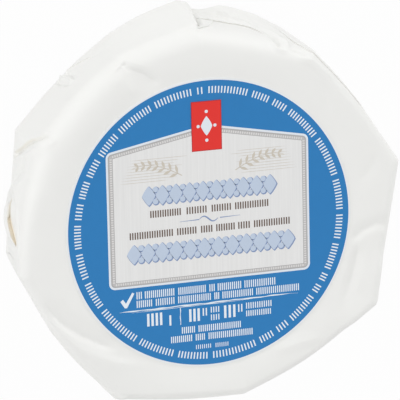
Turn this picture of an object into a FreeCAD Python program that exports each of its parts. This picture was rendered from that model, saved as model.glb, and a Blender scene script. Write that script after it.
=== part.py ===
import FreeCAD
import Part
import Mesh
import Spreadsheet
import math
import os

# A small goat brie in its sealed white paper wrap, with a round label on top.
# The pack is one closed solid: the paper stands out in stiff corners where it was folded, is drawn
# over a rounded rim, and ends in a wide flap and a few pleats that are pressed against the wall.
# Origin at the middle of the base, +Z up, +X along the label's reading direction. Millimetres.

doc = FreeCAD.newDocument("GoatBrie")
sheet = doc.addObject("Spreadsheet::Sheet", "Sizes")

SIZES = [
    ("pack_height", 24.0, "base to the flat top"),
    ("pack_radius", 49.0, "plain radius of the wrapped cheese"),
    ("rim_rounding", 4.6, "radius of the rounded top rim"),
    ("foot_rounding", 3.2, "radius of the rounded bottom edge"),
    ("label_radius", 37.5, "round paper label"),
    ("label_thickness", 0.3, "label with its glue"),
    ("label_border", 1.2, "flat paper left showing around the label"),
    ("label_middle_x", -0.6, "label's middle from the middle of the base"),
    ("label_middle_y", -2.7, "label's middle from the middle of the base"),
    ("flap_layer", 0.9, "folded layers of the wide flap"),
    ("flap_end_angle", 90.0, "where the flap ends in a cut edge"),
    ("flap_root_angle", 132.0, "where the flap runs into the plain wall"),
    ("pleat_layer", 1.0, "pressed pleats beside the flap's end"),
    ("pleat_end_angle", 60.0, "far end of those pleats"),
    ("pleat_near_height", 10.0, "their upper edge above the base, beside the flap"),
    ("pleat_far_height", 21.0, "their upper edge above the base, at the far end"),
    ("pleat_edge_slope", 2.0, "height over which their upper edge rises to full thickness"),
    ("tuck_layer", 0.5, "paper doubled where each corner is tucked down the wall"),
    ("lip_stand_out", 3.0, "lips of the open fold on the left"),
    ("lip_angle", 174.0, "middle of the open fold"),
    ("lip_half_angle", 14.0, "reach of its lips to each side, in degrees"),
    ("lip_height", 12.5, "open fold's height above the base"),
    ("lip_half_height", 7.0, "reach of its lips up and down"),
    ("ring_dip", 0.7, "dip of the paper between label and rim, at its deepest"),
    ("ring_dip_angle", 134.0, "where that dip is deepest"),
    ("ring_dip_half_angle", 42.0, "reach of that dip to each side, in degrees"),
    ("columns", 160.0, "facets around the wall"),
    ("wall_rows", 8.0, "facets up the wall"),
    ("round_rows", 4.0, "facets across each rounded edge"),
]
for row, (alias, value, meaning) in enumerate(SIZES, start=1):
    sheet.set("A%d" % row, meaning)
    sheet.set("B%d" % row, str(value))
    sheet.setAlias("B%d" % row, alias)

# Stiff corners of the paper, round the middle of the label: the angle in degrees, how far the
# corner stands out from the plain radius, and how much the side that follows it is bulged.
RIM_CORNERS = [
    (12.0, 4.0, 0.9),
    (55.0, 1.6, 0.9),
    (92.0, 1.2, 0.6),
    (116.5, 0.4, 1.4),
    (151.0, 0.3, 1.7),
    (191.0, 1.1, 1.8),
    (240.0, 2.0, 0.8),
    (280.5, -1.0, 2.1),
    (329.7, 3.5, 0.1),
]
FOOT_CORNERS = [
    (10.0, 2.0, 1.4),
    (53.0, 1.7, 1.5),
    (77.8, 2.6, -1.5),
    (90.5, 2.7, 1.2),
    (113.0, 0.4, 1.2),
    (152.0, 1.0, -0.2),
    (190.0, -0.5, 1.5),
    (238.0, 0.8, 1.4),
    (281.0, -1.4, 2.1),
    (328.0, 1.6, 1.0),
]
# Rows of facets on the paper between label and rim, as shares of the way across.
RING_ROWS = (0.35, 0.7)
# Columns stand this far before and after a cut edge, in degrees, so that it stays sharp.
EDGE_BEFORE = 0.3
EDGE_AFTER = 0.05
# An even column gives way to an edge's own pair when it is nearer than this, in degrees.
EDGE_CLEARANCE = 0.8
doc.recompute()


def size(alias):
    """The number that the sheet holds under this alias."""
    return float(getattr(sheet, alias))


def ease(share):
    """Smooth rise from 0 to 1 while share goes from 0 to 1."""
    share = min(max(share, 0.0), 1.0)
    return share * share * (3.0 - 2.0 * share)


def turn_between(start, end):
    """Degrees from one angle on to the next, counted anticlockwise."""
    return (end - start) % 360.0


def bump(angle, middle, half_width):
    """1 at the middle angle, easing to 0 half_width degrees away on both sides."""
    away = abs((angle - middle + 180.0) % 360.0 - 180.0)
    return ease(1.0 - away / half_width)


def outline(corners, angle):
    """Radius at an angle: the straight side between two corners, plus its bulge."""
    for index, (start, out, bulge) in enumerate(corners):
        end, next_out, _ = corners[(index + 1) % len(corners)]
        width = turn_between(start, end)
        along = turn_between(start, angle)
        if along <= width:
            near = size("pack_radius") + out
            far = size("pack_radius") + next_out
            spread = near * math.sin(math.radians(along)) + far * math.sin(math.radians(width - along))
            side = near * far * math.sin(math.radians(width)) / spread
            return side + bulge * math.sin(math.pi * along / width)
    raise ValueError("no side of the outline holds %g degrees" % angle)


def flap_cover(angle):
    """1 at the flap's cut edge, fading to 0 where the flap runs into the wall."""
    width = turn_between(size("flap_end_angle"), size("flap_root_angle"))
    along = turn_between(size("flap_end_angle"), angle)
    return ease(1.0 - along / width) if along < width else 0.0


def pleat_cover(angle, height):
    """1 on the pressed pleats below their slanting upper edge, 0 off them."""
    width = turn_between(size("pleat_end_angle"), size("flap_end_angle"))
    along = turn_between(size("pleat_end_angle"), angle)
    if along >= width:
        return 0.0
    share = along / width
    edge = size("pleat_far_height") + share * (size("pleat_near_height") - size("pleat_far_height"))
    fade_in = ease(3.0 * share)
    return fade_in * ease((edge - height) / size("pleat_edge_slope"))


def tuck_cover(angle):
    """1 just past each corner of the foot, falling to 0 at the next corner, as doubled paper does."""
    for index, (start, _, _) in enumerate(FOOT_CORNERS):
        end = FOOT_CORNERS[(index + 1) % len(FOOT_CORNERS)][0]
        width = turn_between(start, end)
        along = turn_between(start, angle)
        if along < width:
            return (1.0 - along / width) ** 2
    raise ValueError("no corner starts before %g degrees" % angle)


def wall_radius(angle, height):
    """Radius of the wall at an angle and a height, with the layers that lie on it."""
    share = ease(height / size("pack_height"))
    radius = (1.0 - share) * outline(FOOT_CORNERS, angle) + share * outline(RIM_CORNERS, angle)
    lip_rise = ease(1.0 - abs(height - size("lip_height")) / size("lip_half_height"))
    radius += size("lip_stand_out") * lip_rise * bump(angle, size("lip_angle"), size("lip_half_angle"))
    radius += size("flap_layer") * flap_cover(angle) * (1.0 - share)
    radius += size("tuck_layer") * tuck_cover(angle) * (1.0 - share)
    radius += size("pleat_layer") * pleat_cover(angle, height)
    return radius


def column_angles():
    """Even steps round the pack, with a close pair of columns at the flap's end and at each tuck."""
    count = int(size("columns"))
    edges = [size("flap_end_angle")] + [corner[0] for corner in FOOT_CORNERS]
    angles = []
    for index in range(count):
        angle = 360.0 * index / count
        if all(abs(angle - edge) > EDGE_CLEARANCE for edge in edges):
            angles.append(angle)
    for edge in edges:
        angles.extend([edge - EDGE_BEFORE, edge + EDGE_AFTER])
    return sorted(set(angles))


def profile(angle):
    """(radius, height) from the flat top, over the rim and down the wall to the flat base."""
    rim = size("rim_rounding")
    foot = size("foot_rounding")
    top = size("pack_height")
    rows = int(size("round_rows"))
    flat = size("label_radius") + size("label_border")
    rim_start = wall_radius(angle, top) - rim
    dip = size("ring_dip") * bump(angle, size("ring_dip_angle"), size("ring_dip_half_angle"))
    points = [(flat, top)]
    for share in RING_ROWS:
        points.append((flat + share * (rim_start - flat), top - dip * math.sin(math.pi * share)))
    for row in range(rows + 1):
        turn = 0.5 * math.pi * row / rows
        height = top - rim + rim * math.cos(turn)
        points.append((wall_radius(angle, height) - rim + rim * math.sin(turn), height))
    walls = int(size("wall_rows"))
    for row in range(1, walls):
        height = top - rim - (top - rim - foot) * row / walls
        points.append((wall_radius(angle, height), height))
    for row in range(rows + 1):
        turn = 0.5 * math.pi * row / rows
        height = foot - foot * math.sin(turn)
        points.append((wall_radius(angle, height) - foot + foot * math.cos(turn), height))
    return points


def wrapped_wheel_shape():
    """The pack's surface as facets between neighbouring profiles, closed flat at top and base."""
    rings = []
    for angle in column_angles():
        east = math.cos(math.radians(angle))
        north = math.sin(math.radians(angle))
        rings.append([FreeCAD.Vector(r * east, r * north, z) for r, z in profile(angle)])
    top_middle = FreeCAD.Vector(0, 0, size("pack_height"))
    base_middle = FreeCAD.Vector(0, 0, 0)
    facets = []
    for index, ring in enumerate(rings):
        following = rings[(index + 1) % len(rings)]
        facets.append((top_middle, ring[0], following[0]))
        facets.append((base_middle, following[-1], ring[-1]))
        for row in range(len(ring) - 1):
            facets.append((ring[row], ring[row + 1], following[row + 1]))
            facets.append((ring[row], following[row + 1], following[row]))
    shell = Part.Shape()
    shell.makeShapeFromMesh(Mesh.Mesh(facets).Topology, 0.001)
    solid = Part.makeSolid(shell)
    return solid.removeSplitter()


def build_wrapped_wheel():
    wheel = doc.addObject("Part::Feature", "WrappedWheel")
    wheel.Label = "wrapped_wheel"
    wheel.Shape = wrapped_wheel_shape()
    middle = FreeCAD.Vector(size("label_middle_x"), size("label_middle_y"), 0)
    wheel.Placement = FreeCAD.Placement(middle, FreeCAD.Rotation())
    return wheel


def build_label():
    """A thin disc glued flat on the top."""
    label = doc.addObject("Part::Cylinder", "Label")
    label.Label = "label"
    label.setExpression("Radius", "Sizes.label_radius")
    label.setExpression("Height", "Sizes.label_thickness")
    label.setExpression("Placement.Base.x", "Sizes.label_middle_x")
    label.setExpression("Placement.Base.y", "Sizes.label_middle_y")
    label.setExpression("Placement.Base.z", "Sizes.pack_height")
    return label


def check(parts):
    """Stop before anything is written if an object failed or a sub-part is not one valid solid."""
    for item in doc.Objects:
        if "Invalid" in item.State or "Error" in item.State:
            raise RuntimeError("%s failed to build" % item.Name)
    for item in parts:
        shape = item.Shape
        if shape.isNull() or not shape.isValid() or len(shape.Solids) != 1 or shape.Volume <= 0:
            raise RuntimeError("%s is not one valid solid" % item.Label)


def export(parts):
    os.makedirs("parts", exist_ok=True)
    for item in parts:
        item.Shape.exportStep("parts/%s.step" % item.Label)
        box = item.Shape.BoundBox
        print("%s  volume %.1f  x %.2f to %.2f  y %.2f to %.2f  z %.2f to %.2f" % (
            item.Label, item.Shape.Volume, box.XMin, box.XMax, box.YMin, box.YMax, box.ZMin, box.ZMax))


parts = [build_wrapped_wheel(), build_label()]
doc.recompute()
check(parts)
export(parts)
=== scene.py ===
import math

import bpy
import numpy as np
from mathutils import Matrix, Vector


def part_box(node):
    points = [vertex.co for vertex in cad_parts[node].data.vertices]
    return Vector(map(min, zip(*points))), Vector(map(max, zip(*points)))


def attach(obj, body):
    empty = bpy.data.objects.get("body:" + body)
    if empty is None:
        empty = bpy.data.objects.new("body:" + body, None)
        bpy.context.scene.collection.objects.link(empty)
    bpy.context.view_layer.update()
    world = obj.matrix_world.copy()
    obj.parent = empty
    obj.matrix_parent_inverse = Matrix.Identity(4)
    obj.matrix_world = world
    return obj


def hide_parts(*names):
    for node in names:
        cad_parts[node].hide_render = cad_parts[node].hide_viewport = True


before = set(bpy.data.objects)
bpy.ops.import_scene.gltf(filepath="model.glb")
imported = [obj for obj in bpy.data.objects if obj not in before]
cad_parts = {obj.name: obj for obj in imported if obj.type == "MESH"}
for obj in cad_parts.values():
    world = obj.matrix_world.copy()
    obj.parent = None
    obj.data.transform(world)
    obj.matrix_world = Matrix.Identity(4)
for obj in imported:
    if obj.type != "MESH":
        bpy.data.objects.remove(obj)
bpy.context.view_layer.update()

MM = 0.001

# --- The wrap ---
# One sheet of white coated paper, laid over the cheese from above and pulled down hard all round.
# It is smooth under the label, stands out in stiff corners at the rim, runs down the wall in soft
# sides between those corners, and is pleated over and over towards the middle of the underside.

label_low, label_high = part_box("label")
_, wrap_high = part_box("wrapped_wheel")
middle = np.array([(label_low.x + label_high.x) / 2, (label_low.y + label_high.y) / 2])
label_radius = (label_high.x - label_low.x) / 2
pack_top = wrap_high.z
pack_radius = 49.0 * MM
soft_rim = 4.6 * MM
tight_rim = 2.4 * MM
foot_rounding = 3.2 * MM
flat_radius = label_radius + 0.4 * MM
dish_rise = 0.35 * MM
steep_dish_rise = 0.30 * MM
dish_crest = 0.72
dish_left_at_rim = 0.82
drawn_in_share = 0.337
drawn_in_bearing = 317.0
pouch_bulge = 1.4 * MM
pouch_height = 11.5 * MM
pouch_reach = 8.0 * MM
underside_relief = 0.72 * MM

# Stiff corners round the middle of the label: degrees, millimetres out from the plain radius, and
# how many millimetres the side that follows the corner is bulged.
rim_corners = [
    (12.0, 4.0, 0.9), (55.0, 1.6, 0.9), (92.0, 1.2, 0.6), (116.5, 0.4, 1.4),
    (151.0, 0.3, 1.7), (191.0, 1.1, 1.8), (240.0, 2.0, 0.8), (280.5, -1.0, 2.1),
    (329.7, 3.5, 0.1),
]
foot_corners = [
    (10.0, 2.0, 1.4), (53.0, 1.7, 1.5), (77.8, 2.6, -1.5), (90.5, 2.7, 1.2),
    (113.0, 0.4, 1.2), (152.0, 1.0, -0.2), (190.0, -0.5, 1.5), (238.0, 0.8, 1.4),
    (281.0, -1.4, 2.1), (328.0, 1.6, 1.0),
]


def ease(share):
    """From 0 to 1 along s * s * (3 - 2 * s), held at both ends."""
    share = np.clip(share, 0.0, 1.0)
    return share * share * (3.0 - 2.0 * share)


def bump(angle, centre, half_width):
    """1 at the centre angle, easing to 0 half_width degrees away on both sides."""
    away = np.abs((angle - centre + 180.0) % 360.0 - 180.0)
    return ease(1.0 - away / half_width)


def outline(corners, angle):
    """Radius at each angle: the straight line between the two corners beside it, near * far * sin(width)
    over near * sin(along) + far * sin(width - along), plus a half sine wave for the side's bulge."""
    starts, outs, bulges = np.array(corners).T
    here = (np.searchsorted(starts, angle % 360.0, side="right") - 1) % len(starts)
    after = (here + 1) % len(starts)
    width = np.radians((starts[after] - starts[here]) % 360.0)
    along = np.radians((angle - starts[here]) % 360.0)
    near = pack_radius + outs[here] * MM
    far = pack_radius + outs[after] * MM
    straight = near * far * np.sin(width) / (near * np.sin(along) + far * np.sin(width - along))
    return straight + bulges[here] * MM * np.sin(math.pi * along / width)


def rim_arc(angle):
    """Radius of the rim's rounding: soft on the folded side, tight where the sheet is drawn over the edge."""
    return tight_rim + (soft_rim - tight_rim) * ease(1.8 * bump(angle, 112.0, 88.0))


def wall_radius(angle, height):
    """Radius at an angle and a height: the foot's outline below, easing into the rim's above, and a low
    swelling behind the pouch on the left. Where the rim is tight its outline is drawn in by a share."""
    share = ease(height / pack_top)
    facing = np.maximum(np.cos(np.radians(angle - drawn_in_bearing)), 0.0)
    drawn_in = drawn_in_share * (soft_rim - rim_arc(angle)) * facing
    radius = (1.0 - share) * outline(foot_corners, angle) + share * (outline(rim_corners, angle) - drawn_in)
    swelling = ease(1.0 - np.abs(height - pouch_height) / pouch_reach) * bump(angle, 175.0, 15.0)
    return radius + pouch_bulge * swelling


def skin(angle, station):
    """Points of the plain wrap. Station runs 0 to 1 from the label's edge out to the rim, rising like the
    edge of a shallow dish, to 2 round the rim (a quarter circle), to 3 down the wall, to 4 round the foot,
    and to 5 in to the middle of the base; below 0 it runs in under the label, to its middle at -1."""
    angle = np.asarray(angle, float)
    station = np.clip(np.asarray(station, float), -1.0, 5.0)
    part = np.clip(np.floor(station), -1.0, 4.0)
    share = station - part
    turn = 0.5 * math.pi * share
    rim = rim_arc(angle)
    rim_start = wall_radius(angle, pack_top) - rim
    foot_end = wall_radius(angle, 0.0) - foot_rounding
    places = [part < 0, part == 0, part == 1, part == 2, part == 3]
    rise = dish_rise + steep_dish_rise * bump(angle, 145.0, 34.0) - dish_rise * bump(angle, 117.0, 7.0)
    dished = rise * np.sin(0.5 * math.pi * share / dish_crest)
    height = np.select(
        places,
        [
            pack_top,
            pack_top + dished,
            pack_top - rim + rim * np.cos(turn) + dish_left_at_rim * rise * (1.0 - share) ** 2,
            pack_top - rim - (pack_top - rim - foot_rounding) * share,
            foot_rounding - (foot_rounding - underside_relief) * np.sin(turn),
        ],
        underside_relief,
    )
    wall = wall_radius(angle, height)
    radius = np.select(
        places,
        [
            flat_radius * share,
            flat_radius + share * (rim_start - flat_radius),
            wall - rim + rim * np.sin(turn),
            wall,
            wall - foot_rounding + foot_rounding * np.cos(turn),
        ],
        foot_end * (1.0 - share),
    )
    east = middle[0] + radius * np.cos(np.radians(angle))
    north = middle[1] + radius * np.sin(np.radians(angle))
    return np.stack([east, north, height], -1)


def skin_normal(angle, station):
    """Unit vectors square to the plain wrap, outwards: the cross product of its two small steps."""
    across = skin(angle + 0.05, station) - skin(angle - 0.05, station)
    down = skin(angle, station + 0.002) - skin(angle, station - 0.002)
    normal = np.cross(down, across)
    return normal / np.maximum(np.linalg.norm(normal, axis=-1, keepdims=True), 1e-15)


def follow(stops, share):
    """Angle and station at shares of the way along a line of (angle, station) stops."""
    stops = np.array(stops, float)
    even = share * (len(stops) - 1)
    number = np.arange(len(stops))
    return np.interp(even, number, stops[:, 0]), np.interp(even, number, stops[:, 1])


def fold_profile(points, normals, stops, left, right, power, ends):
    """Share of a fold's height at each point: 1 on its line, falling as (1 - distance / width) to a power
    with one width for each side, and rising and fading over the ends' shares of the line's length.

    The line goes through the stops, pairs of angle and station, laid on the plain wrap."""
    line = skin(*follow(stops, np.linspace(0.0, 1.0, 6 * (len(stops) - 1) + 1)))
    start = line[:-1]
    step = line[1:] - start
    length = np.linalg.norm(step, axis=1)
    before = np.concatenate([[0.0], np.cumsum(length)])
    widest = max(left, right)
    low = line.min(0) - widest
    high = line.max(0) + widest
    share = np.zeros(len(points))
    near = np.flatnonzero(np.all((points > low) & (points < high), axis=1))
    if len(near) == 0:
        return share
    offset = points[near, None, :] - start[None]
    along = np.clip((offset * step).sum(-1) / np.maximum(length, 1e-9) ** 2, 0.0, 1.0)
    away = offset - along[..., None] * step
    distance = np.linalg.norm(away, axis=-1)
    closest = distance.argmin(1)
    row = np.arange(len(near))
    leftwards = np.cross(normals[near], step[closest])
    on_left = (away[row, closest] * leftwards).sum(-1) > 0.0
    width = np.where(on_left, left, right)
    fall = np.clip(1.0 - distance[row, closest] / width, 0.0, 1.0) ** power
    travelled = (before[closest] + along[row, closest] * length[closest]) / before[-1]
    rise = ease(travelled / max(ends[0], 1e-6)) * ease((1.0 - travelled) / max(ends[1], 1e-6))
    share[near] = fall * rise
    return share


# Folds that show as a ridge (positive) or a valley (negative) of the sheet itself. Each has its stops, its
# height, the widths of its left and right flank, how sharp it is, and how its ends fade. Millimetres.
folds = [
    # the apex on the rim: a crease runs from it to the label, past a small raised facet
    ([(116.5, 1.50), (115.6, 1.2), (112, 0.8), (107.5, 0.05)], -0.80, 1.9, 4.4, 1.4, (0.06, 0.3)),
    ([(116.9, 1.45), (118.6, 1.0), (118.6, 0.1)], 0.32, 2.2, 3.4, 1.3, (0.06, 0.3)),
    ([(119.5, 1.55), (116.9, 1.42), (113.5, 1.55)], 0.25, 1.2, 1.6, 1.4, (0.4, 0.4)),
    # the tucked fold on the left wall, the ridge of doubled paper along it, and the facet at its end
    ([(145.2, 1.44), (147.2, 1.6), (149.2, 1.96), (152, 2.26), (155.5, 2.57), (159.2, 3.0)],
     -1.35, 0.95, 0.9, 1.1, (0.3, 0.05)),
    ([(147.8, 1.40), (150.8, 1.66), (153.4, 2.04), (157.2, 2.47), (161.2, 3.0)],
     0.60, 2.6, 1.2, 1.3, (0.3, 0.1)),
    ([(145.6, 1.30), (148.6, 1.36), (151.6, 1.58)], 0.32, 1.1, 1.6, 1.2, (0.4, 0.4)),
    # soft streaks beside it
    ([(154.8, 2.24), (161.2, 2.47), (166.5, 2.93)], -0.95, 2.0, 1.8, 1.3, (0.4, 0.3)),
    ([(158.5, 2.0), (164.5, 2.3), (169.5, 2.8)], 0.50, 1.8, 1.8, 1.3, (0.4, 0.3)),
    # the lip above the pouch
    ([(169, 2.42), (173, 2.24), (177, 2.12), (181, 2.04), (184.5, 1.98), (187.5, 2.1)],
     0.55, 0.9, 1.5, 1.2, (0.3, 0.25)),
    ([(166.5, 3.1), (169.0, 2.72), (171.0, 2.40), (173.5, 2.2)], -0.60, 1.2, 1.5, 1.2, (0.3, 0.3)),
    ([(189.8, 2.1), (190.3, 2.6), (190.8, 3.3)], -1.2, 6.0, 3.5, 1.0, (0.5, 0.1)),
    # lower left: a crease slants from the rim to the label, and the sheet beyond it rises to the rim
    ([(201, 1.62), (213, 1.22), (226, 0.72), (238, 0.30), (246, 0.10)], 0.60, 1.7, 7.0, 1.0, (0.2, 0.3)),
    ([(199, 1.25), (211, 0.88), (223, 0.42), (232, 0.10)], -0.72, 4.6, 1.4, 1.1, (0.25, 0.2)),
    ([(250, 1.0), (262, 0.95), (275, 1.0), (286, 1.05)], 0.25, 4.0, 2.0, 1.2, (0.3, 0.3)),
    # short sharp fold at the bottom corner
    ([(234.0, 1.66), (237.5, 1.52), (240.5, 1.38), (243.0, 1.40)], 0.55, 0.8, 1.7, 1.3, (0.25, 0.15)),
    ([(240.8, 1.3), (249.5, 1.5), (260, 1.55)], -0.35, 1.0, 1.6, 1.3, (0.3, 0.4)),
    # right: a curved valley, and the raised corner below it
    ([(353, 1.6), (353.8, 0.8), (351.4, 0.4), (346.5, 0.03)], -0.60, 1.6, 3.0, 1.3, (0.2, 0.2)),
    ([(315, 1.25), (322, 1.4), (329.7, 1.45), (338, 1.35), (347, 1.3)], 0.75, 5.0, 1.6, 1.0, (0.25, 0.25)),
    ([(323, 0.55), (331, 0.38), (340, 0.36), (349, 0.3)], -0.70, 2.0, 2.6, 1.1, (0.4, 0.3)),
    ([(313, 0.95), (305, 0.5), (292, 0.1)], 0.35, 2.4, 2.8, 1.3, (0.3, 0.4)),
    ([(20, 1.0), (14, 0.6), (8, 0.1)], -0.25, 2.4, 3.0, 1.4, (0.4, 0.4)),
    ([(50, 0.95), (42, 0.55), (36, 0.2)], -0.22, 2.6, 3.2, 1.4, (0.4, 0.4)),
    # the gap where the wide flap ends
    ([(91.0, 1.72), (89.4, 2.3), (88.0, 2.85), (87.2, 3.5)], -0.95, 0.9, 1.2, 1.1, (0.25, 0.0)),
    # the pressed pleats beyond it: a light fold along the foot, the shade above it, and a long facet
    ([(88.5, 3.22), (82.5, 3.2), (78.6, 3.02), (76.8, 3.3)], 0.55, 1.6, 1.2, 1.1, (0.2, 0.2)),
    ([(89.0, 2.98), (84.0, 2.88), (80.4, 2.82), (77.8, 2.55), (76.4, 2.36)],
     -1.15, 1.2, 1.5, 1.0, (0.1, 0.3)),
    ([(86.5, 2.66), (82.0, 2.62), (78.5, 2.42), (74.0, 2.36), (70.5, 2.25)], 0.62, 1.0, 0.9, 1.1, (0.2, 0.3)),
    ([(77.6, 3.05), (72.0, 2.92), (66.0, 2.72), (61.5, 2.35)], 0.30, 2.0, 2.4, 1.1, (0.05, 0.3)),
    ([(76.6, 2.72), (73.0, 2.54), (69.0, 2.42)], -0.75, 1.3, 1.3, 1.2, (0.3, 0.4)),
    # the rounded end of that facet, which turns up over the rim, with a dimple in it
    ([(70.5, 2.42), (66.0, 2.12), (63.4, 1.80), (62.6, 1.50)], 0.85, 1.6, 1.4, 1.2, (0.3, 0.15)),
    ([(68.8, 2.12), (67.0, 1.86), (66.2, 1.62), (65.4, 1.46)], -0.75, 0.9, 0.9, 1.1, (0.2, 0.2)),
    ([(69.6, 1.74), (67.6, 1.58), (66.0, 1.40), (62.0, 1.36)], 0.40, 0.8, 1.2, 1.2, (0.3, 0.3)),
    ([(62.6, 1.46), (58.6, 1.38), (54.6, 1.34)], -0.32, 0.7, 0.8, 1.2, (0.2, 0.3)),
    ([(60.0, 1.28), (55.0, 1.24), (50.0, 1.26), (44, 1.32)], 0.45, 1.5, 1.8, 1.3, (0.2, 0.4)),
    # a small hard tuck where the wide flap begins
    ([(131.6, 3.12), (131.0, 2.78), (130.0, 2.36)], 0.95, 0.9, 0.9, 1.1, (0.1, 0.35)),
    ([(133.8, 3.02), (132.6, 2.72), (131.2, 2.36)], -0.65, 1.0, 0.9, 1.1, (0.15, 0.3)),
    ([(129.4, 3.06), (129.0, 2.72), (129.4, 2.42)], -0.65, 0.9, 1.0, 1.1, (0.15, 0.3)),
    ([(135.4, 2.98), (133.6, 2.86)], 0.45, 0.8, 0.8, 1.1, (0.4, 0.4)),
]

# Overlaps of the gathered sheet: each fold starts at the rim, leans as it goes down the wall, turns under
# the foot and runs on in to the middle. It is sharp on one flank and long and flat on the other.
gathers = [(13.0, 8.0), (34.0, 5.0), (300.0, 6.0), (330.5, 9.0)]
gathers += [(281.0, 5.0), (259.0, 6.0), (239.5, 8.0), (214.0, 5.0)]
for gather_angle, gather_lean in gathers:
    stops = [
        (gather_angle, 1.75),
        (gather_angle + 0.35 * gather_lean, 2.4),
        (gather_angle + gather_lean, 3.1),
        (gather_angle + 1.3 * gather_lean, 4.0),
    ]
    folds.append((stops, 0.70, 0.5, 10.0, 1.3, (0.45, 0.0)))
base_pleats = 12
for pleat_angle in 4.0 + np.arange(base_pleats) * 360.0 / base_pleats:
    lean = 10.0 + 4.0 * math.sin(1.7 * pleat_angle)
    stops = [(pleat_angle, 3.9), (pleat_angle + 0.5 * lean, 4.35), (pleat_angle + 1.6 * lean, 4.9)]
    folds.append((stops, -0.85, 0.6, 13.0, 1.2, (0.12, 0.0)))

# Light crumpling: short low creases all over the wall and the foot, fewer over the rim.
crumple_count = 90
crumple_draw = np.random.default_rng(41)
for _ in range(crumple_count):
    crumple_angle = crumple_draw.uniform(0.0, 360.0)
    crumple_station = crumple_draw.uniform(1.7, 4.6)
    crumple_turn = crumple_draw.uniform(-5.0, 5.0)
    crumple_drop = crumple_draw.uniform(0.1, 0.5)
    stops = [(crumple_angle, crumple_station), (crumple_angle + crumple_turn, crumple_station + crumple_drop)]
    crumple_height = crumple_draw.uniform(-0.12, 0.14)
    crumple_left = crumple_draw.uniform(0.8, 2.4)
    crumple_right = crumple_draw.uniform(0.8, 2.4)
    folds.append((stops, crumple_height, crumple_left, crumple_right, 1.3, (0.4, 0.4)))


def drawn_skin(angle, station):
    """Points and normals of the wrap with its folds: each fold's share times its height, added along the
    plain wrap's normal. Heights fade out under the label, and never reach below the floor."""
    angle, station = np.broadcast_arrays(np.asarray(angle, float), np.asarray(station, float))
    points = skin(angle, station).reshape(-1, 3)
    normals = skin_normal(angle, np.clip(station, -0.95, 4.97)).reshape(-1, 3)
    height = np.zeros(len(points))
    for stops, peak, left, right, power, ends in folds:
        height += peak * MM * fold_profile(points, normals, stops, left * MM, right * MM, power, ends)
    height *= ease(station.reshape(-1) / 0.12 + 0.25)
    points = points + normals * height[:, None]
    points[:, 2] = np.maximum(points[:, 2], 0.03 * MM)
    return points.reshape(angle.shape + (3,)), normals.reshape(angle.shape + (3,))


def new_mesh_object(name, points, faces):
    """A mesh object at the origin from an array of points and a list of faces, shaded smooth."""
    mesh = bpy.data.meshes.new(name)
    mesh.from_pydata(np.asarray(points).reshape(-1, 3).tolist(), [], faces)
    mesh.update()
    mesh.shade_smooth()
    made = bpy.data.objects.new(name, mesh)
    bpy.context.scene.collection.objects.link(made)
    return made


def grid_faces(rows, columns, closed):
    """Quads between neighbouring rows and columns of a grid, joined round the end if it is closed."""
    last = columns if closed else columns - 1
    row, column = np.meshgrid(np.arange(rows - 1), np.arange(last), indexing="ij")
    following = (column + 1) % columns
    here = row * columns
    below = here + columns
    quads = np.stack([here + column, below + column, below + following, here + following], -1)
    return quads.reshape(-1, 4).tolist()


def uneven_angles(count):
    """Angles round the pack, closer together on the folded side, by inverting a running sum of weights."""
    fine = np.linspace(0.0, 360.0, 3601)
    weight = 1.0 + 1.5 * bump(fine, 125.0, 95.0)
    weight = weight + 1.2 * bump(fine, 65.0, 40.0) + 1.2 * bump(fine, 172.0, 35.0)
    total = np.concatenate([[0.0], np.cumsum(0.5 * (weight[1:] + weight[:-1]))])
    return np.interp(np.linspace(0.0, total[-1], count, endpoint=False), total, fine)


wrap_angles = uneven_angles(680)
wrap_stations = np.concatenate([
    [-0.5],
    np.linspace(-0.06, 1.0, 24, endpoint=False),
    np.linspace(1.0, 2.0, 24, endpoint=False),
    np.linspace(2.0, 3.0, 44, endpoint=False),
    np.linspace(3.0, 4.0, 10, endpoint=False),
    np.linspace(4.0, 4.96, 26),
])
wrap_rows, wrap_columns = len(wrap_stations), len(wrap_angles)
wrap_points, wrap_normals = drawn_skin(wrap_angles[None, :], wrap_stations[:, None])
wrap_faces = grid_faces(wrap_rows, wrap_columns, closed=True)
top_pole = wrap_rows * wrap_columns
base_pole = top_pole + 1
last_row = (wrap_rows - 1) * wrap_columns
for column in range(wrap_columns):
    following = (column + 1) % wrap_columns
    wrap_faces.append([top_pole, column, following])
    wrap_faces.append([base_pole, last_row + following, last_row + column])
poles = [[middle[0], middle[1], pack_top], [middle[0], middle[1], wrap_points[-1, :, 2].mean()]]
wrap = new_mesh_object("wrap_skin", np.vstack([wrap_points.reshape(-1, 3), poles]), wrap_faces)


# How deep each point lies in these two folds, 0 to 1, is stored: there a warm, darker painted shade is mixed
# into the paper's colour.
shade_painted_folds = [
    ([(146.6, 1.55), (149.2, 1.96), (152, 2.26), (155.5, 2.57), (159.2, 3.0)],
     1.0, 1.2, 0.9, 0.8, (0.5, 0.1)),
    ([(173.0, 2.52), (176.0, 2.46), (180.0, 2.33), (183.6, 2.18)], 1.0, 0.9, 0.9, 0.7, (0.35, 0.15)),
]
grid_points, grid_normals = wrap_points.reshape(-1, 3), wrap_normals.reshape(-1, 3)
shade = np.zeros(len(wrap.data.vertices), np.float32)
for stops, peak, left, right, power, ends in shade_painted_folds:
    depth = peak * fold_profile(grid_points, grid_normals, stops, left * MM, right * MM, power, ends)
    shade[:len(depth)] = np.maximum(shade[:len(depth)], depth)
wrap.data.attributes.new("painted_fold_shade", "FLOAT", "POINT").data.foreach_set("value", shade)


def new_node(nodes, kind, numbers):
    """A shader node whose sockets of the given names hold the given numbers."""
    made = nodes.new(kind)
    for socket, number in numbers.items():
        made.inputs[socket].default_value = number
    return made


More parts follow.
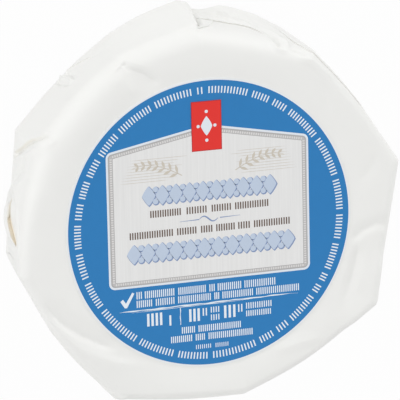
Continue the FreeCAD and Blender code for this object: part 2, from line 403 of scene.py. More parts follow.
def spread(nodes, links, value, start, end, low=0.0, high=1.0):
    """Lays out a value that runs from low to high so that it runs from start to end, held between them."""
    limits = {"From Min": low, "From Max": high, "To Min": start, "To Max": end}
    laid_out = new_node(nodes, "ShaderNodeMapRange", limits)
    links.new(value, laid_out.inputs["Value"])
    return laid_out.outputs["Result"]


def mixed(nodes, links, factor, first, second, blend_type="MIX"):
    """Two colours mixed by a factor. Each of the three is a socket to link, or a value to set."""
    mix = nodes.new("ShaderNodeMix")
    mix.data_type = "RGBA"
    mix.blend_type = blend_type
    for socket, given in (("Factor", factor), ("A", first), ("B", second)):
        if isinstance(given, bpy.types.NodeSocket):
            links.new(given, mix.inputs[socket])
        else:
            mix.inputs[socket].default_value = given
    return mix.outputs["Result"]


def noise_pattern(nodes, links, scale, detail):
    """Noise on Object coordinates, its scale in repeats to the metre."""
    pattern = new_node(nodes, "ShaderNodeTexNoise", {"Scale": scale, "Detail": detail})
    links.new(nodes.new("ShaderNodeTexCoord").outputs["Object"], pattern.inputs["Vector"])
    return pattern.outputs["Fac"]


def mottled_paper(name, colour, tone_range, mottle_scale, sheen_range, gloss, grain):
    """Smooth paper: noise mixes the colour at the two ends of tone_range, and sets the roughness between the
    ends of sheen_range. Grain is the scale, detail, strength and depth of a second noise, in the bump."""
    material = bpy.data.materials.new(name)
    material.use_nodes = True
    nodes, links = material.node_tree.nodes, material.node_tree.links
    shader = nodes["Principled BSDF"]
    shader.inputs["Specular IOR Level"].default_value = gloss
    mottling = noise_pattern(nodes, links, mottle_scale, 3.0)
    both_tones = [(*[min(part * tone, 1.0) for part in colour], 1.0) for tone in tone_range]
    links.new(mixed(nodes, links, mottling, *both_tones), shader.inputs["Base Color"])
    links.new(spread(nodes, links, mottling, *sheen_range), shader.inputs["Roughness"])
    grain_scale, grain_detail, grain_strength, grain_depth = grain
    relief = new_node(nodes, "ShaderNodeBump", {"Strength": grain_strength, "Distance": grain_depth})
    links.new(noise_pattern(nodes, links, grain_scale, grain_detail), relief.inputs["Height"])
    links.new(relief.outputs["Normal"], shader.inputs["Normal"])
    return material


def paint_warm_fold_shade(material, warm):
    """Mixes the paper's colour towards a warm, darker painted shade, by the share stored on each point."""
    nodes, links = material.node_tree.nodes, material.node_tree.links
    base_colour = nodes["Principled BSDF"].inputs["Base Color"]
    depth = nodes.new("ShaderNodeAttribute")
    depth.attribute_name = "painted_fold_shade"
    plain = base_colour.links[0].from_socket
    links.new(mixed(nodes, links, depth.outputs["Fac"], plain, (*warm, 1.0)), base_colour)


white_paper = mottled_paper(
    "coated_white_paper",
    (0.90, 0.901, 0.880),
    tone_range=(0.985, 1.012),
    mottle_scale=160.0,
    sheen_range=(0.39, 0.49),
    gloss=0.5,
    grain=(1400.0, 4.0, 0.25, 0.05 * MM),
)
# the paper deep in folds and on the inner faces of the layers is mixed towards this warm, darker painted
# shade
paint_warm_fold_shade(white_paper, (0.88, 0.81, 0.68))
wrap.data.materials.append(white_paper)
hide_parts("wrapped_wheel")
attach(wrap, "root")

# --- The layers folded over the wall ---
# Where the sheet's spare width was gathered it lies double on the wall: a wide flap with a cut edge, the
# pressed pleats it covers, and a pouch that stands open on the left. Each is the same paper, creased by
# hand, held only by its own folds.

layer_thickness = 0.2 * MM
inner_sink = 0.1 * MM
layer_floor = 0.02 * MM
layer_sink = 0.14 * MM


def paper_layer(name, first_edge, second_edge, lift, solid, warm_shade, rows, columns):
    """A closed layer over the wall, between two edges that are lines of (angle, station) stops.

    Across is a straight mix of the two edges, along follows their stops evenly. The outer face stands off
    the drawn wrap by lift(across, along) millimetres, less layer_sink. The inner face is a paper's
    thickness below it where solid(across, along) is 0, so that the edge stands open, and sinks into the
    wrap where it is 1. The whole inner face gets a warm, darker painted shade, mixed in by the given share."""
    along = np.linspace(0.0, 1.0, rows)
    across = np.linspace(0.0, 1.0, columns)
    first_angle, first_station = follow(first_edge, along)
    second_angle, second_station = follow(second_edge, along)
    angle = first_angle[:, None] + (second_angle - first_angle)[:, None] * across[None, :]
    station = first_station[:, None] + (second_station - first_station)[:, None] * across[None, :]
    points, normals = drawn_skin(angle, station)
    stand_off = np.broadcast_to(lift(across[None, :], along[:, None]), angle.shape) * MM - layer_sink
    filled = np.broadcast_to(solid(across[None, :], along[:, None]), angle.shape)
    sunk = np.minimum(stand_off - layer_thickness, -inner_sink)
    inner_off = (1.0 - filled) * (stand_off - layer_thickness) + filled * sunk
    outer = points + normals * stand_off[..., None]
    inner = points + normals * inner_off[..., None]
    for face in (outer, inner):
        face[..., 2] = np.maximum(face[..., 2], layer_floor)
    count = rows * columns
    outer_faces = np.array(grid_faces(rows, columns, closed=False))
    down_step = points[1:, :-1] - points[:-1, :-1]
    side_step = points[:-1, 1:] - points[:-1, :-1]
    turned = (np.cross(down_step, side_step) * normals[:-1, :-1]).sum() < 0.0
    if turned:
        outer_faces = outer_faces[:, ::-1]
    inner_faces = outer_faces[:, ::-1] + count
    border = np.concatenate([
        np.arange(columns),
        np.arange(1, rows) * columns + columns - 1,
        (rows - 1) * columns + np.arange(columns - 2, -1, -1),
        np.arange(rows - 2, 0, -1) * columns,
    ])
    following = np.roll(border, -1)
    edge_faces = np.stack([border, following, following + count, border + count], -1)
    if turned:
        edge_faces = edge_faces[:, ::-1]
    faces = np.vstack([outer_faces, inner_faces, edge_faces]).tolist()
    made = new_mesh_object(name, np.vstack([outer.reshape(-1, 3), inner.reshape(-1, 3)]), faces)
    # the inner face carries the warm painted shade, the outer face none
    shade = np.repeat([0.0, warm_shade], count).astype(np.float32)
    made.data.attributes.new("painted_fold_shade", "FLOAT", "POINT").data.foreach_set("value", shade)
    made.data.materials.append(white_paper)
    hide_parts("wrapped_wheel")
    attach(made, "root")


def filled_past_first_edge(across, along):
    """1 everywhere but in a narrow strip along the first edge, where it eases down to 0."""
    return ease(40.0 * across)


# The pressed pleats beside the flap's end: one folded edge that runs from under the flap, along the wall
# and up over the rim. It is a low step along that edge, and fades out at both ends and towards the foot.
paper_layer(
    "pleat_stack",
    [(93.0, 2.40), (89.5, 2.44), (85.0, 2.50), (82.0, 2.40)]
    + [(79.0, 2.26), (73.5, 2.22), (70.0, 2.06), (67.6, 1.80)],
    [(93.0, 3.6), (89.0, 3.6), (85.0, 3.6), (81.0, 3.6), (77.0, 3.6), (72.0, 3.6), (66.0, 3.3), (61.0, 2.6)],
    lambda across, along: 0.42 * ease(5.0 * along) * ease(4.0 - 4.0 * along) * ease(6.0 - 6.0 * across),
    filled_past_first_edge,
    warm_shade=0.3, rows=90, columns=50,
)


# a small three-cornered end of paper that shows between the flap and the pleats, with no gap below it
paper_layer(
    "pleat_dog_ear",
    [(91.2, 1.70), (89.9, 2.02), (88.6, 2.44)],
    [(90.9, 1.72), (87.4, 1.98), (83.6, 2.40)],
    lambda across, along: 0.36 + 0.12 * across,
    lambda across, along: 1.0,
    warm_shade=0.0, rows=30, columns=24,
)


# the edge of the sheet's next turn, a low step of the same kind along the upper right of the rim
paper_layer(
    "side_turn",
    [(63.0, 2.9), (60.0, 2.1), (57.6, 1.76), (54.6, 1.62)]
    + [(50.5, 1.62), (42.0, 1.66), (33.0, 1.72), (27.0, 1.95)],
    [(62.0, 3.6), (59.0, 3.5), (55.0, 3.3), (50.0, 3.2), (45.0, 3.1), (38.0, 3.0), (31.0, 2.9), (25.0, 2.7)],
    lambda across, along: 0.34 * ease(5.0 * along + 0.3) * ease(6.0 - 6.0 * along) * ease(5.0 - 5.0 * across),
    filled_past_first_edge,
    warm_shade=0.3, rows=90, columns=40,
)


# the wide flap: it grows out of the rim at the top and ends in a cut edge on the right
def flap_lift(across, along):
    """Flat against the wall, and curling away towards the cut edge, more so further down the wall."""
    curl = 0.34 * ease(2.4 * along - 0.6) + 0.25 * across + (0.25 + 1.5 * along) * across ** 5
    return ease(3.0 * along + 0.1) * ease(7.0 - 7.0 * along) * curl


def flap_filled(across, along):
    """1 everywhere but in narrow strips along its two side edges."""
    return ease(50.0 - 50.0 * across) * ease(0.6 + 30.0 * across)


paper_layer(
    "wide_flap",
    [(112.0, 1.95), (113.4, 2.25), (118.6, 2.6), (122.9, 2.83), (128.0, 3.03), (130.0, 3.5)],
    [(91.9, 1.58), (91.0, 1.9), (89.6, 2.4), (88.7, 2.8), (88.0, 3.1), (87.4, 3.6)],
    flap_lift,
    flap_filled,
    warm_shade=0.3, rows=60, columns=90,
)


# the pouch on the left: a fold pressed against the wall, whose upper edge stands open for a short way
def pouch_lift(across, along):
    """A body that swells in the middle and sinks towards the foot, and a lip that stands further off near
    the lower end of the opening."""
    swell = 1.15 * np.sin(math.pi * along ** 0.85) ** 1.5
    body = 0.35 + swell * (0.72 + 0.28 * ease(5.0 * across) - 0.5 * ease(1.8 * across - 0.3))
    lip = 0.40 * ease(1.0 - 4.0 * np.abs(along - 0.74)) * ease(1.0 - 6.0 * across)
    fading = ease(5.0 * along) * ease(5.0 - 5.0 * along) * ease(3.0 - 3.0 * across)
    return fading * (body + lip)


def pouch_filled(across, along):
    """0 in the opening, a short and shallow strip under the upper edge, and 1 elsewhere."""
    opening = ease(6.0 * along - 2.0) * ease(9.4 - 10.0 * along)
    return np.maximum(ease(60.0 * across - 0.2), 1.0 - opening)


paper_layer(
    "pouch",
    [(169.0, 2.72), (171.5, 2.56), (173.6, 2.49), (175.8, 2.45)]
    + [(178.0, 2.38), (180.2, 2.29), (182.4, 2.20), (184.6, 2.30)],
    [(165.5, 3.6), (168.5, 3.6), (171.5, 3.6), (174.5, 3.6)]
    + [(177.5, 3.6), (180.5, 3.6), (183.5, 3.6), (186.0, 3.6)],
    pouch_lift,
    pouch_filled,
    # its inner face, seen through the opening, gets the full warm painted shade
    warm_shade=1.0, rows=100, columns=140,
)

# --- The label ---
# A round of printed paper glued flat on the wrap, cut a little outside its blue ground, so that a thin
# white margin is left all round. The print is laid down colour on colour, each a hair above the last.

margin = 0.55 * MM
label_paper = 0.13 * MM
ink = 0.02 * MM
label_top = pack_top + label_paper


def printed_paper(name, colour, mottle=0.03):
    """Ink on smooth paper: two near tones mottled together, with the paper's fine grain in the bump."""
    return mottled_paper(
        name,
        colour,
        tone_range=(1.0 - mottle, 1.0 + mottle),
        mottle_scale=420.0,
        sheen_range=(0.38, 0.46),
        gloss=0.3,
        grain=(420.0, 3.0, 0.12, 0.03 * MM),
    )


def printed_piece(name, points, faces, material):
    """A piece of the label from its points and faces, shaded flat."""
    made = new_mesh_object(name, points, faces)
    made.data.shade_flat()
    made.data.materials.append(material)
    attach(made, "root")
    return made


def slabs(name, outlines, low, high, material):
    """Thin closed slabs: each outline, a ring of points seen from above, is stood up from low to high."""
    outlines = np.asarray(outlines, float)
    if outlines.ndim == 2:
        outlines = outlines[None]
    number, corners = outlines.shape[:2]
    lifted = np.zeros((number, 2, corners, 3))
    lifted[..., :2] = outlines[:, None] + middle
    lifted[:, 0, :, 2] = high
    lifted[:, 1, :, 2] = low
    first = np.arange(number)[:, None] * 2 * corners
    ring = np.arange(corners)[None]
    top = first + ring
    base = first + corners + ring[:, ::-1]
    sides = first[..., None] + np.array(grid_faces(2, corners, closed=True))
    faces = sides.reshape(-1, 4).tolist() + base.tolist() + top.tolist()
    return printed_piece(name, lifted, faces, material)


circle_corners = 240


def unit_circle(count):
    """Points of a circle of radius 1, anticlockwise: the cosine and sine of even bearings."""
    bearing = np.linspace(0.0, 2.0 * math.pi, count, endpoint=False)
    return np.stack([np.cos(bearing), np.sin(bearing)], -1)


label_round = unit_circle(circle_corners)
label_white = printed_paper("label_white", (0.86, 0.88, 0.90))
label = slabs("label_round", label_radius * label_round, pack_top, label_top, label_white)
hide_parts("label")
blue_ink = printed_paper("blue_ink", (0.024, 0.206, 0.508))
slabs("blue_ground", (label_radius - margin) * label_round, label_top - ink, label_top + ink, blue_ink)

# --- The panel ---
# A pale gable-topped panel printed over the blue: white line, grey line, a band of fine rungs between two
# grey lines, and a streaked off-white field inside.

panel_half_width = 26.55 * MM
panel_shift = -0.14 * MM
panel_bottom = -14.75 * MM
panel_shoulder = 20.6 * MM
panel_peak = 25.7 * MM
panel_rounding = 1.6 * MM
smallest_rounding = 0.25 * MM
panel_sides = 5
corner_stops = 9
white_line_width = 0.55 * MM
band_inset = 0.90 * MM
inner_line_inset = 1.60 * MM
field_inset = 1.75 * MM


def gable(inset):
    """The panel's outline moved in by inset: five straight sides whose lines are shifted square to
    themselves, met at their corners, and each corner rounded by an arc tangent to both sides."""
    corners = np.array([
        [-panel_half_width, panel_bottom],
        [panel_half_width, panel_bottom],
        [panel_half_width, panel_shoulder],
        [0.0, panel_peak],
        [-panel_half_width, panel_shoulder],
    ])
    along = np.roll(corners, -1, 0) - corners
    along = along / np.linalg.norm(along, axis=1, keepdims=True)
    inward = np.stack([-along[:, 1], along[:, 0]], -1)
    level = (corners * inward).sum(1) + inset
    radius = max(panel_rounding - inset, smallest_rounding)
    ring = []
    for corner in range(panel_sides):
        sides = [(corner - 1) % panel_sides, corner]
        centre = np.linalg.solve(inward[sides], level[sides] + radius)
        start = math.atan2(-inward[sides[0], 1], -inward[sides[0], 0])
        turn = math.acos(np.clip((inward[sides[0]] * inward[sides[1]]).sum(), -1.0, 1.0))
        bearing = start + np.linspace(0.0, turn, corner_stops)
        ring.append(centre + radius * np.stack([np.cos(bearing), np.sin(bearing)], -1))
    return np.concatenate(ring) + [panel_shift, 0.0]


def level(step):
    """Height of the printed colour that lies step inks above the blue ground."""
    return label_top + (step + 1) * ink


white_ink = printed_paper("white_ink", (0.80, 0.85, 0.91), mottle=0.015)
grey_ink = printed_paper("grey_ink", (0.47, 0.46, 0.46))
rung_white = printed_paper("rung_white", (0.76, 0.75, 0.74))
slabs("panel_white_line", gable(0.0), level(-1), level(1), white_ink)
slabs("panel_grey_line", gable(white_line_width), level(0), level(2), grey_ink)
slabs("panel_band", gable(band_inset), level(1), level(3), printed_paper("band_grey", (0.56, 0.55, 0.55)))
slabs("panel_inner_line", gable(inner_line_inset), level(2), level(4), grey_ink)

rung_pitch = 0.6 * MM
rung_half = np.array([0.15, 0.30]) * MM
rung_middle = 1.25 * MM


def panel_rungs():
    """Small upright oblongs set square across the band: evenly spaced along each of the five sides."""
    ring = gable(rung_middle).reshape(panel_sides, corner_stops, 2)
    square = np.array([[-1, -1], [1, -1], [1, 1], [-1, 1]]) * rung_half
    made = []
    for corner in range(panel_sides):
        start = ring[corner, -1]
        end = ring[(corner + 1) % panel_sides, 0]
        length = np.linalg.norm(end - start)
        along = (end - start) / length
        count = int(length / rung_pitch)
        places = start + along * (np.arange(count)[:, None] + 0.5) * length / count
        turned = square[:, :1] * along + square[:, 1:] * np.array([-along[1], along[0]])
        made.append(places[:, None, :] + turned[None])
    return np.concatenate(made)


slabs("panel_rungs", panel_rungs(), level(2), level(4), rung_white)


def streaked_field(name, colour):
    """The panel's field: off-white with fine upright streaks, from noise stretched along the streaks."""
    material = printed_paper(name, colour, mottle=0.01)
    nodes, links = material.node_tree.nodes, material.node_tree.links
    stretch = new_node(nodes, "ShaderNodeMapping", {"Scale": (1900.0, 45.0, 1.0)})
    streaks = new_node(nodes, "ShaderNodeTexNoise", {"Scale": 1.0, "Detail": 2.0})
    links.new(nodes.new("ShaderNodeTexCoord").outputs["Object"], stretch.inputs["Vector"])
    links.new(stretch.outputs["Vector"], streaks.inputs["Vector"])
    streak_tones = spread(nodes, links, streaks.outputs["Fac"], 0.96, 1.02, low=0.3, high=0.7)
    base_colour = nodes["Principled BSDF"].inputs["Base Color"]
    plain = base_colour.links[0].from_socket
    links.new(mixed(nodes, links, 1.0, plain, streak_tones, "MULTIPLY"), base_colour)
    return material


field_white = streaked_field("field_off_white", (0.835, 0.835, 0.83))
slabs("panel_field", gable(field_inset), level(3), level(5), field_white)

# --- The red tag ---
# A plain upright oblong in red ink, printed over the panel's peak. A thin edge of a darker red is printed
# first, a little larger all round.

tag_left, tag_right = -4.27 * MM, 3.63 * MM
tag_low, tag_high = 18.96 * MM, 31.73 * MM


def oblong(left, low, right, high):
    """The four corners of an upright oblong, anticlockwise."""
    return np.array([[left, low], [right, low], [right, high], [left, high]])


tag_edge = 0.18 * MM
tag_dark_red = printed_paper("tag_dark_red", (0.50, 0.03, 0.035))
slabs("tag_edge", oblong(tag_left, tag_low, tag_right, tag_high), level(3), level(6), tag_dark_red)
slabs(
    "tag_red",
    oblong(tag_left + tag_edge, tag_low + tag_edge, tag_right - tag_edge, tag_high - tag_edge),
    level(5),
    level(7),
    printed_paper("tag_red_ink", (0.80, 0.035, 0.028)),
)

# --- The small print ---
# Lines of small upright strokes, grouped like words, stand where a real label carries its wording: in
# brown and white across the label, and in white all round its edge. They are plain strokes, not letters.

white_words = printed_paper("print_white", (0.84, 0.90, 0.96), mottle=0.015)
brown_words = printed_paper("print_brown", (0.125, 0.082, 0.062))


def strokes(words, low, high, size):
    """Upright oblongs of one thickness, set at an even pitch inside each group, a (start, end) pair along
    the line. Size is the pitch and the thickness."""
    pitch, thick = size
    ring = []
    for start, end in words:
        count = max(int(round((end - start) / pitch)), 1)
        centre = start + (np.arange(count) + 0.5) * (end - start) / count
        corners = np.zeros((count, 4, 2))
        corners[..., 0] = centre[:, None] + thick * np.array([-0.5, 0.5, 0.5, -0.5])
        corners[..., 1] = [low, low, high, high]
        ring.append(corners)
    return np.concatenate(ring) * MM


# Four sizes of print, as pitch and thickness. A row holds its groups, its foot, its top and its size.
large, middling, medium, fine = (1.15, 0.62), (0.7, 0.34), (0.66, 0.32), (0.55, 0.27)
brown_lines = [
    ([(-15.7, -7.4), (-6.2, -0.6), (0.4, 5.8), (6.6, 15.7)], 3.0, 4.8, medium),
    ([(-21.2, -9.6), (-8.8, -3.4), (-2.5, 0.8)], -2.2, -0.4, medium),
    ([(1.5, 6.7), (7.3, 10.7), (11.5, 21.3)], -2.2, -0.4, medium),
]
slabs("brown_lines", np.concatenate([strokes(*row) for row in brown_lines]), level(4), level(6), brown_words)
white_lines = [
    ([(-19.8, -18.1), (-17.6, -9.6), (-8.8, -1.3)], -17.8, -15.9, fine),
    ([(-0.6, 1.1), (1.6, 8.1), (8.7, 17.2)], -17.8, -15.9, fine),
    ([(-19.8, -15.5), (-14.8, -9.6), (-8.9, 0.0)], -20.0, -18.2, fine),
    ([(0.7, 2.2), (2.8, 11.2), (11.8, 23.5)], -20.0, -18.2, fine),
    ([(-17.3, -12.8)], -25.2, -21.9, large),
    ([(-11.6, -10.3)], -25.6, -22.9, (0.95, 0.50)),
    ([(-6.2, -2.9)], -25.2, -21.9, large),
    ([(-2.6, -1.0)], -24.0, -22.0, middling),
    ([(-0.4, 2.2)], -23.4, -21.9, (0.62, 0.28)),
    ([(-0.4, 2.2)], -25.4, -23.9, (0.62, 0.28)),
    ([(3.0, 6.6)], -25.2, -21.9, large),
    ([(6.8, 8.4)], -24.0, -22.0, middling),
    ([(9.0, 16.1)], -23.4, -21.8, (0.58, 0.27)),
    ([(9.0, 15.9)], -25.4, -23.9, (0.58, 0.27)),
    ([(-8.1, -4.4), (-3.7, 7.8)], -28.1, -26.4, fine),
    ([(-11.0, -5.2), (-4.5, -1.8), (-1.1, 10.9)], -30.3, -28.6, fine),
    ([(-4.5, -0.2), (0.7, 4.4)], -32.6, -31.5, (0.55, 0.2)),
]
slabs("white_lines", np.concatenate([strokes(*row) for row in white_lines]), level(0), level(2), white_words)

ring_low, ring_high = 33.65, 35.4
ring_groups = 27
ring_gap = 1.0
ring_size = (0.84, 0.34)


def ring_words(count):
    """Strokes bent round the label's edge: their distance along the line becomes an angle, and their height
    the radius, so that they stand on the inner circle like words on a seal."""
    ring_draw = np.random.default_rng(7)
    lengths = ring_draw.uniform(2.2, 13.5, count)
    around = 2.0 * math.pi * 0.5 * (ring_low + ring_high)
    lengths = lengths * (around - count * ring_gap) / lengths.sum()
    starts = np.concatenate([[0.0], np.cumsum(lengths + ring_gap)[:-1]])
    flat = strokes(list(zip(starts, starts + lengths)), ring_low, ring_high, ring_size)
    bearing = flat[..., 0] / MM / around * 2.0 * math.pi
    radius = flat[..., 1]
    bent = radius[..., None] * np.stack([np.cos(bearing), np.sin(bearing)], -1)
    return bent[:, ::-1]


slabs("ring_line", ring_words(ring_groups), level(0), level(2), white_words)

# --- The frieze ---
# Two bold rows of pale blue diamonds with round beads between them, edged with a darker blue line that is
# heavier below right, stand in the panel's middle. It is a plain old border pattern, printed flat.

frieze_pale = printed_paper("frieze_pale_blue", (0.545, 0.635, 0.775))
frieze_dark = printed_paper("frieze_dark_blue", (0.245, 0.325, 0.525))
frieze_points = 32
diamond, bead = 1.7, 1.0


def bowed_shape(power, half_width, half_height):
    """A ring of points: width and height times the cosine and sine of the bearing, each to a power with
    its sign kept. A bead's power gives a round or an oval, and a diamond's gives slightly bowed sides."""
    ring = unit_circle(frieze_points)
    return np.sign(ring) * np.abs(ring) ** power * [half_width, half_height]


def frieze_row(start, end, count, low, high):
    """A row's shapes as (power, middle, half width, half height), evenly set between its ends, in
    millimetres: a tall diamond in each place, and two beads over each other between neighbours."""
    pitch = (end - start) / count
    centre, half_height = 0.5 * (low + high), 0.5 * (high - low)
    made = []
    for place in range(count):
        east = start + (place + 0.5) * pitch
        made.append((diamond, (east, centre), 0.49 * pitch, half_height))
        if place + 1 < count:
            for side in (-1.0, 1.0):
                place_of_bead = (east + 0.5 * pitch, centre + 0.62 * side * half_height)
                made.append((bead, place_of_bead, 0.20 * pitch, 0.20 * pitch))
    return made


upper_row = frieze_row(start=-17.6, end=17.8, count=10, low=6.2, high=11.2)
lower_row = frieze_row(start=-21.9, end=22.4, count=12, low=-8.6, high=-3.6)
line_width = 0.17
shadow = [0.16, -0.16]


def frieze_outlines(grown, shift):
    """The outlines of both rows' shapes, each larger by grown all round and moved by shift."""
    return MM * np.array([
        bowed_shape(power, half_width + grown, half_height + grown) + centre + shift
        for power, centre, half_width, half_height in upper_row + lower_row
    ])


slabs("frieze_shadow", frieze_outlines(line_width, shadow), level(4), level(6), frieze_dark)
slabs("frieze", frieze_outlines(0.0, [0.0, 0.0]), level(5), level(7), frieze_pale)

# --- Rules and ornaments ---
# A rule with a curl between the brown lines, a rough brushed rule and an upright one below the panel, a
# tick, a white diamond on the tag, and faint leafy sprigs over fine hatching in the panel's upper corners.


def ribbons(name, centres, half_widths, low, high, material):
    """Closed flat strips: each centre line is widened by its half width to both sides, square to its own
    direction, and stood up from low to high."""
    centres, half_widths = np.asarray(centres, float) * MM, np.asarray(half_widths, float) * MM
    along = np.gradient(centres, axis=1)
    along = along / np.linalg.norm(along, axis=-1, keepdims=True)
    leftwards = np.stack([-along[..., 1], along[..., 0]], -1)
    left = centres + leftwards * half_widths[..., None]
    right = centres - leftwards * half_widths[..., None]
    number, stops = centres.shape[:2]
    lifted = np.zeros((number, stops, 4, 3))
    for place, (side, height) in enumerate(((right, low), (right, high), (left, high), (left, low))):
        lifted[:, :, place, :2] = side + middle
        lifted[:, :, place, 2] = height
    first = np.arange(number)[:, None] * 4 * stops
    first_end = first + np.arange(3, -1, -1)
    last_end = first + 4 * (stops - 1) + np.arange(4)
    sides = first[..., None] + np.array(grid_faces(stops, 4, closed=True))
    faces = sides.reshape(-1, 4).tolist() + first_end.tolist() + last_end.tolist()
    printed_piece(name, lifted, faces, material)


rule_share = np.linspace(0.0, 1.0, 120)


def ripple(size, pace):
    """A sine wave along a rule: its size in millimetres times the sine of pace times the rule's share."""
    return size * np.sin(pace * rule_share)


brushed_north = -20.85 + 0.22 * rule_share + ripple(0.05, 23.0) + ripple(0.04, 61.0)
brushed = np.stack([-24.2 + 47.3 * rule_share, brushed_north], -1)
brushed_fade = ease(14.0 * rule_share) * ease(6.0 - 6.0 * rule_share)
brushed_half = (0.13 + ripple(0.04, 37.0) + ripple(0.02, 90.0)) * brushed_fade + 0.015
second = np.stack([-21.0 + 30.0 * rule_share, -21.22 + 0.25 * rule_share + ripple(0.03, 31.0)], -1)
second_half = (0.05 + ripple(0.02, 29.0)) * ease(5.0 * rule_share) * ease(5.0 - 5.0 * rule_share) + 0.01
upright = np.stack([-8.25 + ripple(0.04, 9.0), -21.3 - 4.4 * rule_share], -1)
upright_half = 0.10 + ripple(0.03, 13.0)
ribbons(
    "white_rules",
    [brushed, second, upright],
    [brushed_half, second_half, upright_half],
    level(0),
    level(2),
    white_words,
)

tick = [(-23.9, -18.0), (-23.2, -17.5), (-22.45, -18.6), (-20.75, -15.9), (-20.2, -16.2)]
tick += [(-22.2, -19.8), (-22.8, -19.8)]
slabs("white_tick", np.array(tick[::-1]) * MM, level(0), level(2), white_words)

left_rule = np.stack([-7.9 + 5.1 * rule_share, 1.22 + 0.1 * rule_share], -1)
right_rule = np.stack([2.7 + 5.4 * rule_share, 1.32 + 0.1 * rule_share], -1)
curl = np.stack([-2.8 + 5.0 * rule_share, 1.32 + ripple(0.72, 2.0 * math.pi)], -1)
ribbons(
    "curled_rule",
    [left_rule, curl, right_rule],
    [0.03 + 0.09 * rule_share, 0.04 + ripple(0.15, math.pi), 0.12 - 0.09 * rule_share],
    level(4),
    level(6),
    frieze_dark,
)

tag_middle = np.array([0.5 * (tag_left + tag_right), 0.5 * (tag_low + tag_high)]) / MM
tag_shapes = [bowed_shape(diamond, 1.5, 2.5) + tag_middle]
for side in (-1.0, 1.0):
    tag_shapes.append(bowed_shape(bead, 0.42, 0.42) + tag_middle + [2.2 * side, 0.0])
    tag_shapes.append(bowed_shape(bead, 0.42, 0.42) + tag_middle + [0.0, 3.7 * side])
slabs("tag_diamond", np.array(tag_shapes) * MM, level(6), level(8), white_ink)

sepia = printed_paper("sepia_ink", (0.66, 0.62, 0.56))
hatch_count = 9
hatch_share = rule_share[::6]
hatch_half = 0.05 * ease(6.0 * hatch_share) * ease(6.0 - 6.0 * hatch_share) + 0.01
hatch_lines = []
for side in (-1.0, 1.0):
    for number in range(hatch_count):
        height = 12.4 + 0.72 * number
        reach = 14.0 + 1.5 * math.sin(1.9 * number + side)
        start = 23.2 - 0.35 * number
        east = side * (start - reach * hatch_share)
        hatch_lines.append(np.stack([east, np.full_like(east, height)], -1))
ribbons("panel_hatch", hatch_lines, [hatch_half] * len(hatch_lines), level(4), level(5.5), sepia)


def sprig(side):
    """A bowed stem with pairs of pointed leaves: the stem is a flat arc, and each leaf a spindle whose
    half width is a sine of its length, set at a slant to the stem. Side mirrors it left to right."""
    stem_share = np.linspace(0.0, 1.0, 24)
    stem = np.stack([7.0 + 13.0 * stem_share, 13.2 + 4.6 * np.sin(1.9 * stem_share) - 1.5 * stem_share], -1)
    lines, halves = [stem], [0.10 - 0.05 * stem_share]
    for place in range(2, 22, 3):
        heading = math.atan2(*(stem[place + 1] - stem[place - 1])[::-1])
        size = 2.5 - 0.05 * place
        for lean in (0.85, -0.85):
            bearing = heading + lean
            leaf = stem[place] + size * stem_share[:, None] * [math.cos(bearing), math.sin(bearing)]
            lines.append(leaf)
            halves.append(0.02 + 0.32 * np.sin(math.pi * stem_share) ** 1.3)
    return [line * [side, 1.0] for line in lines], halves


leaf_ink = printed_paper("leaf_ink", (0.64, 0.59, 0.51))
left_sprig, sprig_halves = sprig(-1.0)
right_sprig, _ = sprig(1.0)
ribbons("panel_sprigs", left_sprig + right_sprig, sprig_halves * 2, level(4), level(6.2), leaf_ink)

# --- Camera, light and floor ---
# A long lens looks down on the pack from the front left. The room is white and brighter at its sides than
# overhead, a soft broad lamp stands low to the left and another to the upper right, and the floor is white.

camera_offset = np.array([-300.18, 279.49, 966.60]) * MM
camera_right = (0.95371, -0.02162, 0.29995)
camera_up = (0.09817, 0.96516, -0.24255)
camera_back = (-0.28426, 0.26077, 0.92260)
camera_data = bpy.data.cameras.new("camera")
camera_data.lens = 376.0
camera_data.sensor_width = 36.0
camera_data.clip_start = 0.05
camera_data.clip_end = 20.0
camera = bpy.data.objects.new("camera", camera_data)
place = np.eye(4)
place[:3, 0] = camera_right
place[:3, 1] = camera_up
place[:3, 2] = camera_back
place[:3, 3] = np.array([middle[0], middle[1], pack_top]) + camera_offset
camera.matrix_world = Matrix(place.tolist())
bpy.context.scene.collection.objects.link(camera)
bpy.context.scene.camera = camera

lamp_height = 24.0
lamp_spread = 40.0
for lamp_name, lamp_bearing, lamp_energy in (("left_lamp", 162.0, 0.66), ("right_lamp", 50.0, 0.62)):
    lamp_data = bpy.data.lights.new(lamp_name, "SUN")
    lamp_data.energy = lamp_energy
    lamp_data.angle = math.radians(lamp_spread)
    lamp = bpy.data.objects.new(lamp_name, lamp_data)
    lamp.rotation_euler = (math.radians(90.0 - lamp_height), 0.0, math.radians(lamp_bearing + 90.0))
    bpy.context.scene.collection.objects.link(lamp)

floor_reach = 3.0
floor_height = -0.2 * MM
floor_plan = oblong(-floor_reach, -floor_reach, floor_reach, floor_reach)
floor = new_mesh_object("floor", np.insert(floor_plan, 2, floor_height, axis=1), [[0, 1, 2, 3]])


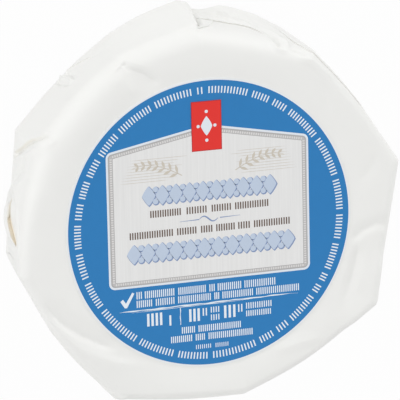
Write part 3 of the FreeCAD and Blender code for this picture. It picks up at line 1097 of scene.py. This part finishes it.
def seen_directly(nodes, links):
    """1 for rays from the camera, or through gloss or glass: the sum of three Light Path outputs, held
    at 1."""
    path = nodes.new("ShaderNodeLightPath")
    total = path.outputs["Is Camera Ray"]
    for kind in ("Is Glossy Ray", "Is Transmission Ray"):
        add = nodes.new("ShaderNodeMath")
        add.operation = "ADD"
        add.use_clamp = True
        links.new(total, add.inputs[0])
        links.new(path.outputs[kind], add.inputs[1])
        total = add.outputs[0]
    return total


floor_material = bpy.data.materials.new("white_floor")
floor_material.use_nodes = True
nodes, links = floor_material.node_tree.nodes, floor_material.node_tree.links
floor_shader = nodes["Principled BSDF"]
floor_shader.inputs["Base Color"].default_value = (0.67, 0.67, 0.67, 1.0)
floor_shader.inputs["Roughness"].default_value = 0.9
floor_shader.inputs["Specular IOR Level"].default_value = 0.0
white_glow = new_node(nodes, "ShaderNodeEmission", {"Strength": 1.0})
glow_share = nodes.new("ShaderNodeMath")
glow_share.operation = "MULTIPLY"
glow_share.inputs[1].default_value = 0.97
mix = nodes.new("ShaderNodeMixShader")
links.new(seen_directly(nodes, links), glow_share.inputs[0])
links.new(glow_share.outputs[0], mix.inputs["Fac"])
links.new(floor_shader.outputs["BSDF"], mix.inputs[1])
links.new(white_glow.outputs["Emission"], mix.inputs[2])
links.new(mix.outputs["Shader"], nodes["Material Output"].inputs["Surface"])
floor.data.materials.append(floor_material)

world = bpy.data.worlds.new("room")
world.use_nodes = True
bpy.context.scene.world = world
nodes, links = world.node_tree.nodes, world.node_tree.links
direction = nodes.new("ShaderNodeTexCoord")
parts = nodes.new("ShaderNodeSeparateXYZ")
links.new(direction.outputs["Generated"], parts.inputs["Vector"])
light_at_sides, light_overhead = 1.28, 0.46
room_light = spread(nodes, links, parts.outputs["Z"], light_at_sides, light_overhead)
room_level = nodes.new("ShaderNodeMix")
room_level.data_type = "FLOAT"
room_level.inputs["B"].default_value = 1.0
links.new(seen_directly(nodes, links), room_level.inputs["Factor"])
links.new(room_light, room_level.inputs["A"])
nodes["Background"].inputs["Color"].default_value = (1.0, 1.0, 1.0, 1.0)
links.new(room_level.outputs["Result"], nodes["Background"].inputs["Strength"])

bpy.context.scene.view_settings.view_transform = "Standard"
